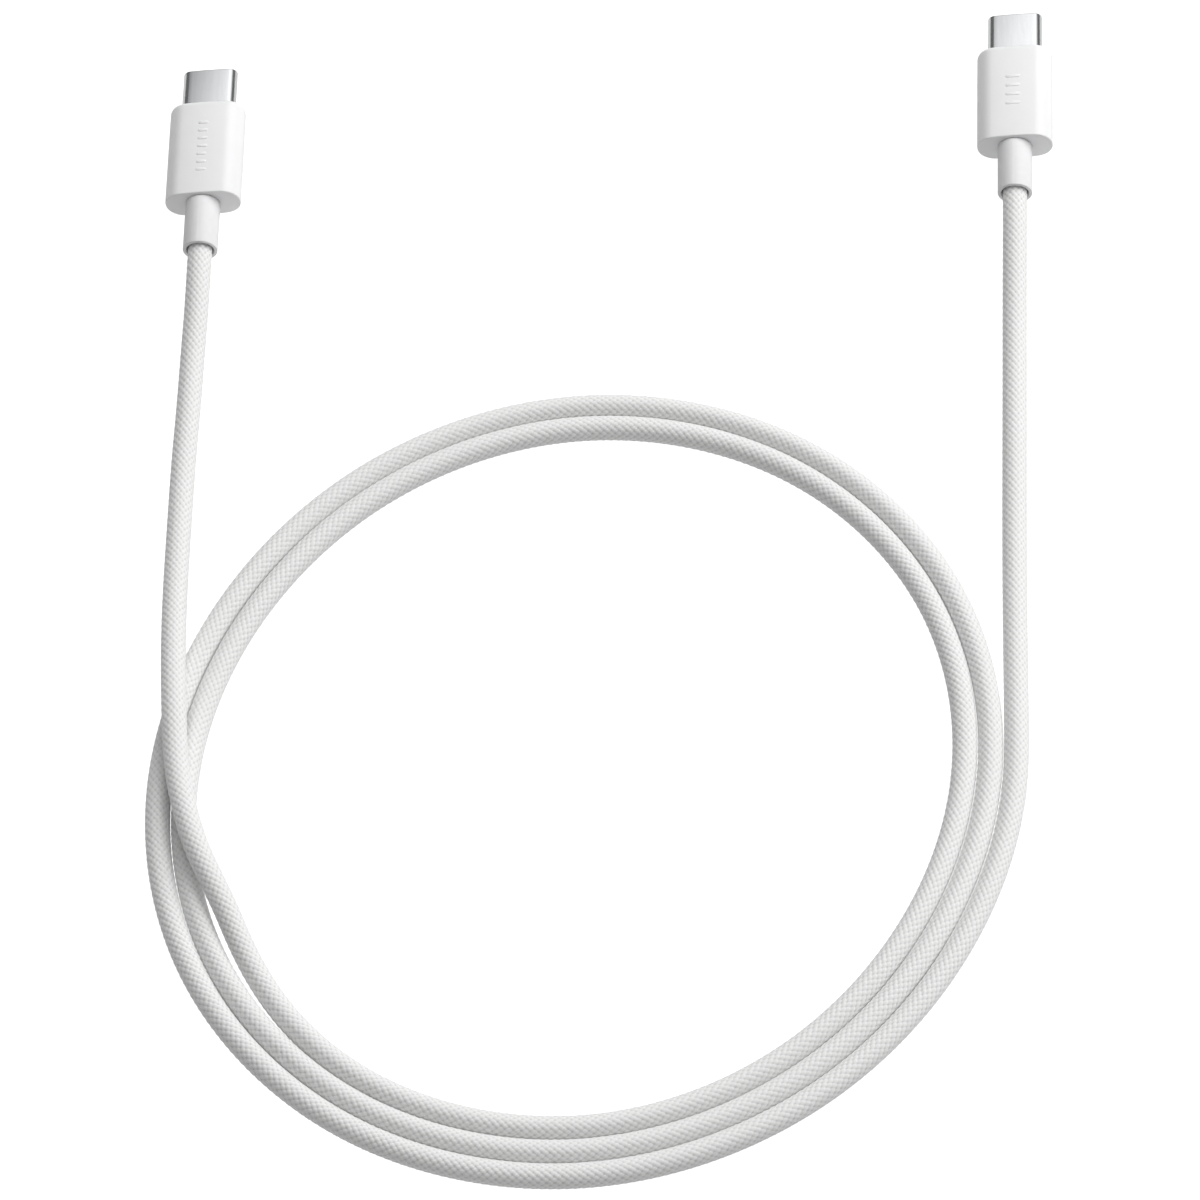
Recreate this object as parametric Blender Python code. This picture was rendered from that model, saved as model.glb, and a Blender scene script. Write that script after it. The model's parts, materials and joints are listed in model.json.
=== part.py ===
"""A woven USB-C to USB-C charging cable, lying in a loose loop with its two plugs side by side.

Metres, +Z up. The origin is on the surface that the cable lies on, below the middle of the box
around the two plugs. Both plugs point along +Y, and the loop lies behind them, towards -Y.
"""
import math

import bmesh
import bpy
import numpy as np
from mathutils import Euler, Vector

MM = 0.001

# Gaps between pieces
FIT_GAP = 0.10 * MM
INNER_FIT = 0.05 * MM
FACE_GAP = 0.30 * MM

# Connector shell, drawn from steel strip
SHELL_WIDTH = 8.25 * MM
SHELL_THICKNESS = 2.40 * MM
SHELL_WALL = 0.28 * MM
SHELL_REACH = 6.65 * MM
SHELL_ANCHOR = 4.50 * MM
SHELL_LIP = 0.16 * MM
SHELL_LIP_STEPS = 2

# Insulators and contacts inside the shell
MOUTH_SETBACK = 0.45 * MM
INSULATOR_LENGTH = 5.05 * MM
SLOT_SIDE_WALL = 0.135 * MM
SLOT_HEIGHT = 1.00 * MM
BLOCK_SIDE_ROOM = 0.30 * MM
CONTACT_PITCH = 0.50 * MM
CONTACT_WIDTH = 0.24 * MM
CONTACT_THICKNESS = 0.10 * MM
CONTACT_DIP = 0.10 * MM
CONTACT_NOSE = 0.60 * MM
CONTACT_CREST = 0.30 * MM
CONTACT_RAMP = 0.40 * MM
CONTACT_SETBACK = 0.65 * MM
CONTACT_TAIL = 1.60 * MM
BLOCK_ANCHOR = 3.60 * MM
UPPER_PINS = (1, 4, 5, 6, 7, 9, 12)
LOWER_PINS = (1, 4, 9, 12)
PIN_MIDDLE = 6.5
SPRING_LENGTH = 2.40 * MM
SPRING_WIDTH = 5.20 * MM
SPRING_THICKNESS = 0.08 * MM
LATCH_THICKNESS = 0.14 * MM
LATCH_HEIGHT = 0.40 * MM
LATCH_HOOK = 0.10 * MM
LATCH_NOSE = 0.30 * MM
LATCH_CREST = 0.30 * MM
LATCH_RAMP = 0.60 * MM
LATCH_SIDE_ROOM = 0.16 * MM
LATCH_SETBACK = 0.85 * MM

# Card, wires and shielding inside the housing
CARD_LENGTH = 5.80 * MM
CARD_WIDTH = 6.40 * MM
CARD_THICKNESS = 0.60 * MM
WIRE_RADIUS = 0.30 * MM
WIRE_PITCH = 1.60 * MM
WIRE_TAIL = 2.00 * MM
WIRE_RING_RADIUS = 0.80 * MM
CAN_WALL = 0.20 * MM
CAN_SETBACK = 1.50 * MM
CAN_BODY_LENGTH = 9.50 * MM
CAN_TAPER_LENGTH = 1.20 * MM
CAN_BARREL_LENGTH = 2.00 * MM

# Moulded housing
SHOULDER_WIDTH = 1.575 * MM
HOUSING_LENGTH = 17.0 * MM
HOUSING_SIDE_FLAT = 0.30 * MM
HOUSING_WALL = 0.80 * MM
FRONT_WALL = 1.00 * MM
REAR_WALL = 1.20 * MM
NOSE_RADIUS = 1.10 * MM
TAIL_RADIUS = 0.22 * MM

# Cord and strain relief
CORD_DIAMETER = 3.70 * MM
JACKET_DIAMETER = 2.90 * MM
BOOT_LENGTH = 8.50 * MM
BOOT_LIP = 0.40 * MM
BOOT_EDGE = 0.12 * MM
NECK_WALL = 0.45 * MM
FLANGE_LENGTH = 1.40 * MM
FLANGE_SIDE_REACH = 1.20 * MM
MOUTH_CLEARANCE = 0.35 * MM
PIVOT_DEPTH = 0.40 * MM
BEND_LIMIT = math.radians(20)

# How the plugs lie
PLUG_ROLL = math.radians(9.0)
PLUG_YAW = math.radians(1.5)
RIGHT_PIVOT = (60.40 * MM, -10.50 * MM)
LEFT_PIVOT = (-61.25 * MM, -20.80 * MM)

# The loop: an oval spiral whose turns lie side by side
LOOP_CENTRE = (-4.30 * MM, -110.70 * MM)
LOOP_RADIUS = 63.87 * MM
LOOP_OVAL = 3.13 * MM
LOOP_OVAL_ANGLE = math.radians(60.9)
LOOP_STEPS_PER_TURN = 12
LOOP_STEPS = 28
TURN_GAP = 0.04 * MM
SURFACE_GAP = 0.02 * MM

# The cord's points beyond the loop, x and y in millimetres. The third number is the cord's height
# above where it lies: a share of the plug's own height in a lead, and cord diameters in the crossing.
RIGHT_LEAD = (
    (60.27, -15.6, 0.93),
    (60.10, -22.2, 0.62),
    (59.90, -30.2, 0.20),
    (59.65, -40.1, 0.00),
    (59.30, -53.1, 0.00),
    (58.95, -66.1, 0.00),
    (58.65, -79.1, 0.00),
    (58.45, -91.1, 0.00),
    (58.30, -101.6, 0.00),
)
LEFT_CROSSING = (
    (-44.95, -151.3, 0.00),
    (-52.60, -138.7, 0.24),
    (-55.20, -132.9, 0.62),
    (-58.80, -125.3, 0.99),
    (-61.10, -117.6, 1.06),
    (-62.40, -109.6, 0.99),
    (-62.90, -101.6, 1.04),
    (-63.20, -94.1, 0.89),
    (-63.35, -86.1, 0.64),
    (-63.30, -77.1, 0.34),
    (-63.10, -67.6, 0.11),
    (-62.80, -57.6, 0.01),
)
LEFT_LEAD = (
    (-62.30, -47.1, 0.00),
    (-61.90, -37.6, 0.13),
    (-61.60, -31.6, 0.52),
    (-61.40, -25.8, 0.90),
)

CORNER_STEPS = 6
NOSE_STEPS = 4
CORD_STEPS = 2
SHARP_ANGLE = math.radians(35)

# Sizes that follow from the ones above
CORD_RADIUS = CORD_DIAMETER / 2
JACKET_RADIUS = JACKET_DIAMETER / 2
BORE_RADIUS = JACKET_RADIUS + FIT_GAP
RECESS_RADIUS = CORD_RADIUS + MOUTH_CLEARANCE
BOOT_RADIUS = RECESS_RADIUS + BOOT_LIP
NECK_RADIUS = BORE_RADIUS + NECK_WALL
SHELL_HALF = (SHELL_WIDTH / 2, SHELL_THICKNESS / 2)
SHELL_INNER = (SHELL_HALF[0] - SHELL_WALL, SHELL_HALF[1] - SHELL_WALL)
HOUSING_HALF = (SHELL_HALF[0] + SHOULDER_WIDTH, NECK_RADIUS + FIT_GAP + HOUSING_WALL)
HOUSING_CORNER = HOUSING_HALF[1] - HOUSING_SIDE_FLAT / 2
CAN_INNER = (SHELL_HALF[0] + FIT_GAP, SHELL_HALF[1] + FIT_GAP)
CAN_OUTER = (CAN_INNER[0] + CAN_WALL, CAN_INNER[1] + CAN_WALL)
SLOT_HALF = (SHELL_INNER[0] - INNER_FIT - SLOT_SIDE_WALL, SLOT_HEIGHT / 2)
CONTACT_TOP = SLOT_HALF[1] - INNER_FIT
CONTACT_BOTTOM = CONTACT_TOP - CONTACT_THICKNESS

# Stations along a plug, measured from the point that it bends about
MOUTH_Y = -PIVOT_DEPTH
RECESS_Y = CORD_RADIUS * math.sin(BEND_LIMIT) + FACE_GAP
TAIL_Y = MOUTH_Y + BOOT_LENGTH
CAVITY_REAR_Y = TAIL_Y + REAR_WALL
NOSE_Y = TAIL_Y + HOUSING_LENGTH
CAVITY_FRONT_Y = NOSE_Y - FRONT_WALL
TIP_Y = NOSE_Y + SHELL_REACH
INSULATOR_FRONT_Y = TIP_Y - MOUTH_SETBACK
INSULATOR_REAR_Y = INSULATOR_FRONT_Y - INSULATOR_LENGTH
BLOCK_FRONT_Y = INSULATOR_REAR_Y - INNER_FIT
BLOCK_REAR_Y = NOSE_Y - BLOCK_ANCHOR
CARD_FRONT_Y = BLOCK_REAR_Y - INNER_FIT
CARD_REAR_Y = CARD_FRONT_Y - CARD_LENGTH
CAN_FRONT_Y = NOSE_Y - CAN_SETBACK
CAN_BODY_Y = CAN_FRONT_Y - CAN_BODY_LENGTH
CAN_BARREL_Y = CAN_BODY_Y - CAN_TAPER_LENGTH
CAN_REAR_Y = CAN_BARREL_Y - CAN_BARREL_LENGTH
JACKET_FRONT_Y = CAN_BARREL_Y - FACE_GAP

# A rolled plug rests on the round of its lower edge
AXIS_HEIGHT = (
    HOUSING_CORNER / math.cos(math.radians(45 / CORNER_STEPS))
    + (HOUSING_HALF[0] - HOUSING_CORNER) * math.sin(PLUG_ROLL)
    + (HOUSING_HALF[1] - HOUSING_CORNER) * math.cos(PLUG_ROLL)
    + SURFACE_GAP
)


def clear_scene():
    for old in list(bpy.data.objects):
        bpy.data.objects.remove(old, do_unlink=True)


def make_material(name, colour, roughness, metallic=0.0):
    material = bpy.data.materials.new(name)
    material.use_nodes = True
    shader = material.node_tree.nodes["Principled BSDF"]
    shader.inputs["Base Color"].default_value = (*colour, 1.0)
    shader.inputs["Roughness"].default_value = roughness
    shader.inputs["Metallic"].default_value = metallic
    material.diffuse_color = (*colour, 1.0)
    return material


def add_object(name, data, material, parent=None, location=(0, 0, 0)):
    data.materials.append(material)
    piece = bpy.data.objects.new(name, data)
    bpy.context.scene.collection.objects.link(piece)
    piece.location = location
    piece.parent = parent
    return piece


def add_mesh(name, bm, material, parent, location=(0, 0, 0)):
    bmesh.ops.recalc_face_normals(bm, faces=bm.faces)
    mesh = bpy.data.meshes.new(name)
    bm.to_mesh(mesh)
    bm.free()
    mesh.shade_smooth()
    mesh.set_sharp_from_angle(angle=SHARP_ANGLE)
    return add_object(name, mesh, material, parent, location)


def section(half_size, corner, y):
    """A rounded rectangle across the plug at y. Its flats lie on the sides and its rounds are drawn
    outside their circle, so a piece and the bore around it keep the same gap all the way round."""
    step = math.radians(90 / CORNER_STEPS)
    reach = corner / math.cos(step / 2)
    points = []
    for quarter in range(4):
        x_middle = (half_size[0] - corner) * (1 if quarter in (0, 3) else -1)
        z_middle = (half_size[1] - corner) * (1 if quarter in (0, 1) else -1)
        for k in range(CORNER_STEPS):
            angle = math.radians(90 * quarter) + step * (k + 0.5)
            x = x_middle + reach * math.cos(angle)
            z = z_middle + reach * math.sin(angle)
            points.append((x, y, z))
    return points


def circle(radius, y):
    return section((radius, radius), radius, y)


def obround(half_size, y):
    return section(half_size, half_size[1], y)


def grown(half_size, margin):
    return (half_size[0] + margin, half_size[1] + margin)


def rounded_front(half_size, corner, radius, steps, y):
    """Sections that turn in a quarter round from a front face at y to the sides."""
    sections = []
    for k in range(steps + 1):
        angle = math.radians(90 * k / steps)
        inset = radius * (1 - math.sin(angle))
        setback = radius * (1 - math.cos(angle))
        sections.append(section(grown(half_size, -inset), corner - inset, y - setback))
    return sections


def add_skin(bm, sections, closed):
    """Joins each section to the next with quads; a closed skin also joins the last to the first."""
    rings = [[bm.verts.new(point) for point in points] for points in sections]
    pairs = list(zip(rings, rings[1:]))
    if closed:
        pairs.append((rings[-1], rings[0]))
    for near, far in pairs:
        for k in range(len(near)):
            bm.faces.new((near[k - 1], near[k], far[k], far[k - 1]))
    return rings


def hollow(name, sections, material, parent):
    """A sleeve: its sections run along the outside and come back through the bore."""
    bm = bmesh.new()
    add_skin(bm, sections, closed=True)
    return add_mesh(name, bm, material, parent)


def solid(name, sections, material, parent):
    bm = bmesh.new()
    rings = add_skin(bm, sections, closed=False)
    bm.faces.new(rings[0])
    bm.faces.new(rings[-1])
    return add_mesh(name, bm, material, parent)


def extruded(name, outline, depth, material, parent, location=(0, 0, 0)):
    """A flat outline, pushed out by the vector depth."""
    bm = bmesh.new()
    face = bm.faces.new([bm.verts.new(point) for point in outline])
    pushed = bmesh.ops.extrude_face_region(bm, geom=[face])
    moved = [item for item in pushed["geom"] if isinstance(item, bmesh.types.BMVert)]
    bmesh.ops.translate(bm, verts=moved, vec=Vector(depth))
    return add_mesh(name, bm, material, parent, location)


def spline_slopes(points, knots):
    """Slopes of the natural cubic spline through the points."""
    count = len(points)
    step = np.diff(knots)
    matrix = np.zeros((count, count))
    wanted = np.zeros((count, 3))
    rise = np.diff(points, axis=0) / step[:, None]
    matrix[0, :2] = (2.0, 1.0)
    wanted[0] = 3 * rise[0]
    for k in range(1, count - 1):
        matrix[k, k - 1] = step[k]
        matrix[k, k] = 2 * (step[k - 1] + step[k])
        matrix[k, k + 1] = step[k - 1]
        wanted[k] = 3 * (step[k] * rise[k - 1] + step[k - 1] * rise[k])
    matrix[-1, -2:] = (1.0, 2.0)
    wanted[-1] = 3 * rise[-1]
    return np.linalg.solve(matrix, wanted)


def smooth_points(points, parts):
    """Points on one smooth curve through the given ones, with each stretch cut in parts[k] parts."""
    points = np.array(points, float)
    knots = np.concatenate([[0.0], np.cumsum(np.linalg.norm(np.diff(points, axis=0), axis=1))])
    slopes = spline_slopes(points, knots)
    found = [points[0]]
    for k, count in enumerate(parts):
        span = knots[k + 1] - knots[k]
        for j in range(1, count + 1):
            t = j / count
            found.append(
                (1 + 2 * t) * (1 - t) ** 2 * points[k]
                + t * (1 - t) ** 2 * span * slopes[k]
                + t * t * (3 - 2 * t) * points[k + 1]
                + t * t * (t - 1) * span * slopes[k + 1]
            )
    return found


def add_tube(name, points, radius, material, parent=None):
    """A tube with a flat side down and one to each side, so turns that lie together keep apart."""
    sides = 2 * CORD_STEPS + 4
    curve = bpy.data.curves.new(name, "CURVE")
    curve.dimensions = "3D"
    curve.twist_mode = "Z_UP"
    curve.bevel_depth = radius
    curve.bevel_resolution = CORD_STEPS
    curve.use_fill_caps = True
    spline = curve.splines.new("POLY")
    spline.points.add(len(points) - 1)
    for place, point in zip(spline.points, points):
        place.co = (*point, 1.0)
        place.tilt = math.pi / sides
    return add_object(name, curve, material, parent)


def make_materials():
    return {
        "housing": make_material("white_polycarbonate", (0.90, 0.90, 0.90), 0.30),
        "boot": make_material("white_elastomer", (0.88, 0.88, 0.88), 0.50),
        "sleeve": make_material("woven_sleeve", (0.84, 0.84, 0.85), 0.75),
        "shell": make_material("nickel_plated_steel", (0.74, 0.74, 0.75), 0.20, 1.0),
        "insulator": make_material("black_insulator", (0.03, 0.03, 0.035), 0.50),
        "contact": make_material("gold_plating", (0.85, 0.62, 0.25), 0.25, 1.0),
        "spring": make_material("spring_steel", (0.62, 0.62, 0.64), 0.30, 1.0),
        "card": make_material("green_card", (0.03, 0.20, 0.08), 0.40),
        "can": make_material("tinned_steel", (0.66, 0.66, 0.66), 0.35, 1.0),
        "mould": make_material("inner_mould", (0.80, 0.80, 0.78), 0.60),
        "jacket": make_material("cord_jacket", (0.78, 0.78, 0.78), 0.60),
        "red_wire": make_material("red_wire", (0.60, 0.03, 0.03), 0.45),
        "black_wire": make_material("black_wire", (0.02, 0.02, 0.02), 0.45),
        "green_wire": make_material("green_wire", (0.02, 0.30, 0.08), 0.45),
        "white_wire": make_material("white_wire", (0.80, 0.80, 0.80), 0.45),
        "blue_wire": make_material("blue_wire", (0.03, 0.10, 0.45), 0.45),
    }


def make_housing(side, parent, materials):
    hole = grown(SHELL_HALF, FIT_GAP)
    cavity = grown(HOUSING_HALF, -HOUSING_WALL)
    sections = [
        obround(hole, NOSE_Y),
        *rounded_front(HOUSING_HALF, HOUSING_CORNER, NOSE_RADIUS, NOSE_STEPS, NOSE_Y),
        section(HOUSING_HALF, HOUSING_CORNER, TAIL_Y + TAIL_RADIUS),
        section(grown(HOUSING_HALF, -TAIL_RADIUS), HOUSING_CORNER - TAIL_RADIUS, TAIL_Y),
        circle(NECK_RADIUS + FIT_GAP, TAIL_Y),
        circle(NECK_RADIUS + FIT_GAP, CAVITY_REAR_Y),
        section(cavity, HOUSING_CORNER - HOUSING_WALL, CAVITY_REAR_Y),
        section(cavity, HOUSING_CORNER - HOUSING_WALL, CAVITY_FRONT_Y),
        obround(hole, CAVITY_FRONT_Y),
    ]
    hollow(side + "_housing", sections, materials["housing"], parent)


def make_boot(side, parent, materials):
    flange_y = CAVITY_REAR_Y + FIT_GAP
    flange_height = HOUSING_HALF[1] - HOUSING_WALL - FIT_GAP
    flange = (flange_height + FLANGE_SIDE_REACH, flange_height)
    sections = [
        circle(RECESS_RADIUS, MOUTH_Y),
        circle(BOOT_RADIUS - BOOT_EDGE, MOUTH_Y),
        circle(BOOT_RADIUS, MOUTH_Y + BOOT_EDGE),
        circle(BOOT_RADIUS, TAIL_Y - FIT_GAP),
        circle(NECK_RADIUS, TAIL_Y - FIT_GAP),
        circle(NECK_RADIUS, flange_y),
        obround(flange, flange_y),
        obround(flange, flange_y + FLANGE_LENGTH),
        circle(BORE_RADIUS, flange_y + FLANGE_LENGTH),
        circle(BORE_RADIUS, RECESS_Y),
        circle(RECESS_RADIUS, RECESS_Y),
    ]
    hollow(side + "_strain_relief_boot", sections, materials["boot"], parent)


def make_shell(side, parent, materials):
    rear_y = NOSE_Y - SHELL_ANCHOR
    sections = [
        obround(SHELL_INNER, TIP_Y),
        *rounded_front(SHELL_HALF, SHELL_HALF[1], SHELL_LIP, SHELL_LIP_STEPS, TIP_Y),
        obround(SHELL_HALF, rear_y),
        obround(SHELL_INNER, rear_y),
    ]
    hollow(side + "_metal_shell", sections, materials["shell"], parent)


def make_insulators(side, parent, materials):
    outer = grown(SHELL_INNER, -INNER_FIT)
    low = (outer[0], outer[1] - SPRING_THICKNESS - INNER_FIT)
    pocket_y = INSULATOR_FRONT_Y - SPRING_LENGTH - FIT_GAP
    sections = [
        obround(SLOT_HALF, INSULATOR_FRONT_Y),
        obround(low, INSULATOR_FRONT_Y),
        obround(low, pocket_y),
        obround(outer, pocket_y),
        obround(outer, INSULATOR_REAR_Y),
        obround(SLOT_HALF, INSULATOR_REAR_Y),
    ]
    hollow(side + "_front_insulator", sections, materials["insulator"], parent)


def pin_x(pin, row):
    """The two rows are numbered from opposite sides, so that the plug fits either way up."""
    return row * (pin - PIN_MIDDLE) * CONTACT_PITCH


def make_contact_block(side, parent, materials):
    """The block is extruded, with an open groove for each contact in its top and bottom faces."""
    top = SHELL_INNER[1] - INNER_FIT
    shoulder_x = abs(pin_x(1, 1)) + CONTACT_WIDTH
    side_x = SHELL_INNER[0] - BLOCK_SIDE_ROOM
    half_groove = CONTACT_WIDTH / 2 + INNER_FIT
    floor = CONTACT_BOTTOM - INNER_FIT
    outline = []
    for row, pins in ((1, UPPER_PINS), (-1, LOWER_PINS)):
        outline += [(-row * side_x, row * SLOT_HALF[1]), (-row * shoulder_x, row * top)]
        for x in sorted((pin_x(pin, row) for pin in pins), reverse=row < 0):
            near = x - row * half_groove
            far = x + row * half_groove
            outline += [(near, row * top), (near, row * floor), (far, row * floor), (far, row * top)]
        outline += [(row * shoulder_x, row * top), (row * side_x, row * SLOT_HALF[1])]
    points = [(x, BLOCK_REAR_Y, z) for x, z in outline]
    depth = (0, BLOCK_FRONT_Y - BLOCK_REAR_Y, 0)
    extruded(side + "_contact_block", points, depth, materials["insulator"], parent)


def make_contacts(side, parent, materials):
    front = INSULATOR_FRONT_Y - CONTACT_SETBACK
    crest_front = front - CONTACT_NOSE
    crest_rear = crest_front - CONTACT_CREST
    profile = (
        (CARD_FRONT_Y - CONTACT_TAIL, 0),
        (crest_rear - CONTACT_RAMP, 0),
        (crest_rear, -CONTACT_DIP),
        (crest_front, -CONTACT_DIP),
        (front, 0),
    )
    for letter, row, pins in (("a", 1, UPPER_PINS), ("b", -1, LOWER_PINS)):
        for pin in pins:
            x = pin_x(pin, row) - CONTACT_WIDTH / 2
            upper = [(x, y, row * (CONTACT_TOP + dip)) for y, dip in profile]
            lower = [(x, y, row * (CONTACT_BOTTOM + dip)) for y, dip in reversed(profile)]
            name = f"{side}_contact_{letter}{pin}"
            extruded(name, upper + lower, (CONTACT_WIDTH, 0, 0), materials["contact"], parent)


def make_ground_springs(side, parent, materials):
    """Each spring lies in a pocket on the insulator, and its lip turns down over the front edge."""
    outer_z = SHELL_INNER[1] - INNER_FIT
    inner_z = outer_z - SPRING_THICKNESS
    rear = INSULATOR_FRONT_Y - SPRING_LENGTH
    lip_rear = INSULATOR_FRONT_Y + INNER_FIT
    lip_front = lip_rear + SPRING_THICKNESS
    lip_z = SLOT_HALF[1] + INNER_FIT
    outline = (
        (rear, outer_z),
        (lip_front, outer_z),
        (lip_front, lip_z),
        (lip_rear, lip_z),
        (lip_rear, inner_z),
        (rear, inner_z),
    )
    for place, row in (("upper", 1), ("lower", -1)):
        points = [(-SPRING_WIDTH / 2, y, row * z) for y, z in outline]
        name = f"{side}_{place}_ground_spring"
        extruded(name, points, (SPRING_WIDTH, 0, 0), materials["spring"], parent)


def make_latches(side, parent, materials):
    """Each arm bends about its root in the contact block, so its origin is there."""
    root_y = BLOCK_FRONT_Y + INNER_FIT
    middle_x = SLOT_HALF[0] - LATCH_SIDE_ROOM - LATCH_THICKNESS / 2
    length = INSULATOR_FRONT_Y - LATCH_SETBACK - root_y
    crest_front = length - LATCH_NOSE
    crest_rear = crest_front - LATCH_CREST
    half = LATCH_THICKNESS / 2
    outline = (
        (half, 0),
        (half, length),
        (-half, length),
        (-half - LATCH_HOOK, crest_front),
        (-half - LATCH_HOOK, crest_rear),
        (-half, crest_rear - LATCH_RAMP),
        (-half, 0),
    )
    outward = 1 if side == "right" else -1
    for place, hand in (("outer", outward), ("inner", -outward)):
        points = [(hand * x, y, -LATCH_HEIGHT / 2) for x, y in outline]
        extruded(
            f"{side}_{place}_latch_arm",
            points,
            (0, 0, LATCH_HEIGHT),
            materials["spring"],
            parent,
            (hand * middle_x, root_y, 0),
        )


def make_card(side, parent, materials):
    half = (CARD_WIDTH / 2, CARD_THICKNESS / 2)
    corners = ((-1, -1), (1, -1), (1, 1), (-1, 1))
    points = [(x * half[0], CARD_REAR_Y, z * half[1]) for x, z in corners]
    extruded(side + "_circuit_card", points, (0, CARD_LENGTH, 0), materials["card"], parent)


def make_wires(side, parent, materials):
    """Each wire leaves a pad on the card and gathers with the others at the end of the jacket."""
    pad_z = CARD_THICKNESS / 2 + INNER_FIT + WIRE_RADIUS
    pads = (
        ("red", -1.0, 1, 162),
        ("green", 0.0, 1, 90),
        ("blue", 1.0, 1, 18),
        ("white", -0.5, -1, 234),
        ("black", 0.5, -1, 306),
    )
    front = CARD_REAR_Y + WIRE_TAIL
    rear = JACKET_FRONT_Y + FIT_GAP
    for colour, place, row, degrees in pads:
        x = place * WIRE_PITCH
        ring_x = WIRE_RING_RADIUS * math.cos(math.radians(degrees))
        ring_z = WIRE_RING_RADIUS * math.sin(math.radians(degrees))
        route = (
            (x, front, row * pad_z),
            (x, CARD_REAR_Y, row * pad_z),
            ((x + ring_x) / 2, (CARD_REAR_Y + rear) / 2, (row * pad_z + ring_z) / 2),
            (ring_x, rear, ring_z),
        )
        points = smooth_points(route, (1, 3, 3))
        name = f"{side}_{colour}_wire"
        add_tube(name, points, WIRE_RADIUS, materials[colour + "_wire"], parent)


def make_shield_can(side, parent, materials):
    barrel = JACKET_RADIUS + FIT_GAP
    sections = [
        obround(CAN_INNER, CAN_FRONT_Y),
        obround(CAN_OUTER, CAN_FRONT_Y),
        obround(CAN_OUTER, CAN_BODY_Y),
        circle(barrel + CAN_WALL, CAN_BARREL_Y),
        circle(barrel + CAN_WALL, CAN_REAR_Y),
        circle(barrel, CAN_REAR_Y),
        circle(barrel, CAN_BARREL_Y),
        obround(CAN_INNER, CAN_BODY_Y),
    ]
    hollow(side + "_shield_can", sections, materials["can"], parent)


def make_inner_mould(side, parent, materials):
    barrel = JACKET_RADIUS + FIT_GAP + CAN_WALL + FIT_GAP
    outer = grown(HOUSING_HALF, -HOUSING_WALL - FIT_GAP)
    corner = HOUSING_CORNER - HOUSING_WALL - FIT_GAP
    bore = grown(CAN_OUTER, FIT_GAP)
    front = CAVITY_FRONT_Y - FIT_GAP
    rear = CAN_REAR_Y + FIT_GAP
    sections = [
        obround(bore, front),
        section(outer, corner, front),
        section(outer, corner, rear),
        circle(barrel, rear),
        circle(barrel, CAN_BARREL_Y),
        obround(bore, CAN_BODY_Y),
    ]
    hollow(side + "_inner_mould", sections, materials["mould"], parent)


def make_jacket_end(side, parent, materials):
    sections = [circle(JACKET_RADIUS, RECESS_Y), circle(JACKET_RADIUS, JACKET_FRONT_Y)]
    solid(side + "_jacket_end", sections, materials["jacket"], parent)


def make_plug(side, pivot, materials):
    """Every piece of a plug hangs from an empty at the point where the cord bends in the boot."""
    empty = bpy.data.objects.new(side + "_plug", None)
    bpy.context.scene.collection.objects.link(empty)
    empty.location = (*pivot, AXIS_HEIGHT)
    empty.rotation_euler = Euler((0, -PLUG_ROLL, -PLUG_YAW))
    make_housing(side, empty, materials)
    make_boot(side, empty, materials)
    make_shell(side, empty, materials)
    make_insulators(side, empty, materials)
    make_contact_block(side, empty, materials)
    make_contacts(side, empty, materials)
    make_ground_springs(side, empty, materials)
    make_latches(side, empty, materials)
    make_card(side, empty, materials)
    make_wires(side, empty, materials)
    make_shield_can(side, empty, materials)
    make_inner_mould(side, empty, materials)
    make_jacket_end(side, empty, materials)


def loop_point(turn, height):
    """The cord's place after so many turns, clockwise from +X seen from above."""
    angle = -2 * math.pi * turn
    radius = LOOP_RADIUS + LOOP_OVAL * math.cos(2 * (angle - LOOP_OVAL_ANGLE))
    radius -= (CORD_DIAMETER + TURN_GAP) * turn
    x = LOOP_CENTRE[0] + radius * math.cos(angle)
    y = LOOP_CENTRE[1] + radius * math.sin(angle)
    return (x, y, height)


def raised(points, scale, lying):
    return [(x * MM, y * MM, lying + lift * scale) for x, y, lift in points]


def cord_route():
    """The cord's points from the right plug to the left one, with the loop's stretches halved."""
    lying = CORD_RADIUS + SURFACE_GAP
    rise = AXIS_HEIGHT - lying
    before = [(*RIGHT_PIVOT, AXIS_HEIGHT), *raised(RIGHT_LEAD, rise, lying)]
    loop = [loop_point(k / LOOP_STEPS_PER_TURN, lying) for k in range(LOOP_STEPS + 1)]
    crossing = raised(LEFT_CROSSING, CORD_DIAMETER, lying)
    after = [*crossing, *raised(LEFT_LEAD, rise, lying), (*LEFT_PIVOT, AXIS_HEIGHT)]
    parts = [1] * len(before) + [2] * LOOP_STEPS + [1] * len(after)
    return smooth_points([*before, *loop, *after], parts)


def make_cord(materials):
    """The sleeved cord ends in the mouth of each boot, at the point that the plug bends about."""
    add_tube("cord", cord_route(), CORD_RADIUS, materials["sleeve"])


clear_scene()
all_materials = make_materials()
make_cord(all_materials)
make_plug("right", RIGHT_PIVOT, all_materials)
make_plug("left", LEFT_PIVOT, all_materials)
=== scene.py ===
"""A white woven charging cable that lies in a loose coil, with its two flat plugs side by side.

Metres, +Z up, in the frame of the CAD model. Each plug's own axes are X across it, Y out of its shell
and Z up from its flat face, and they start where the cord bends in the boot.
"""
import json
import math

import bmesh
import bpy
import numpy as np
from mathutils import Euler, Matrix, Vector


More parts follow.
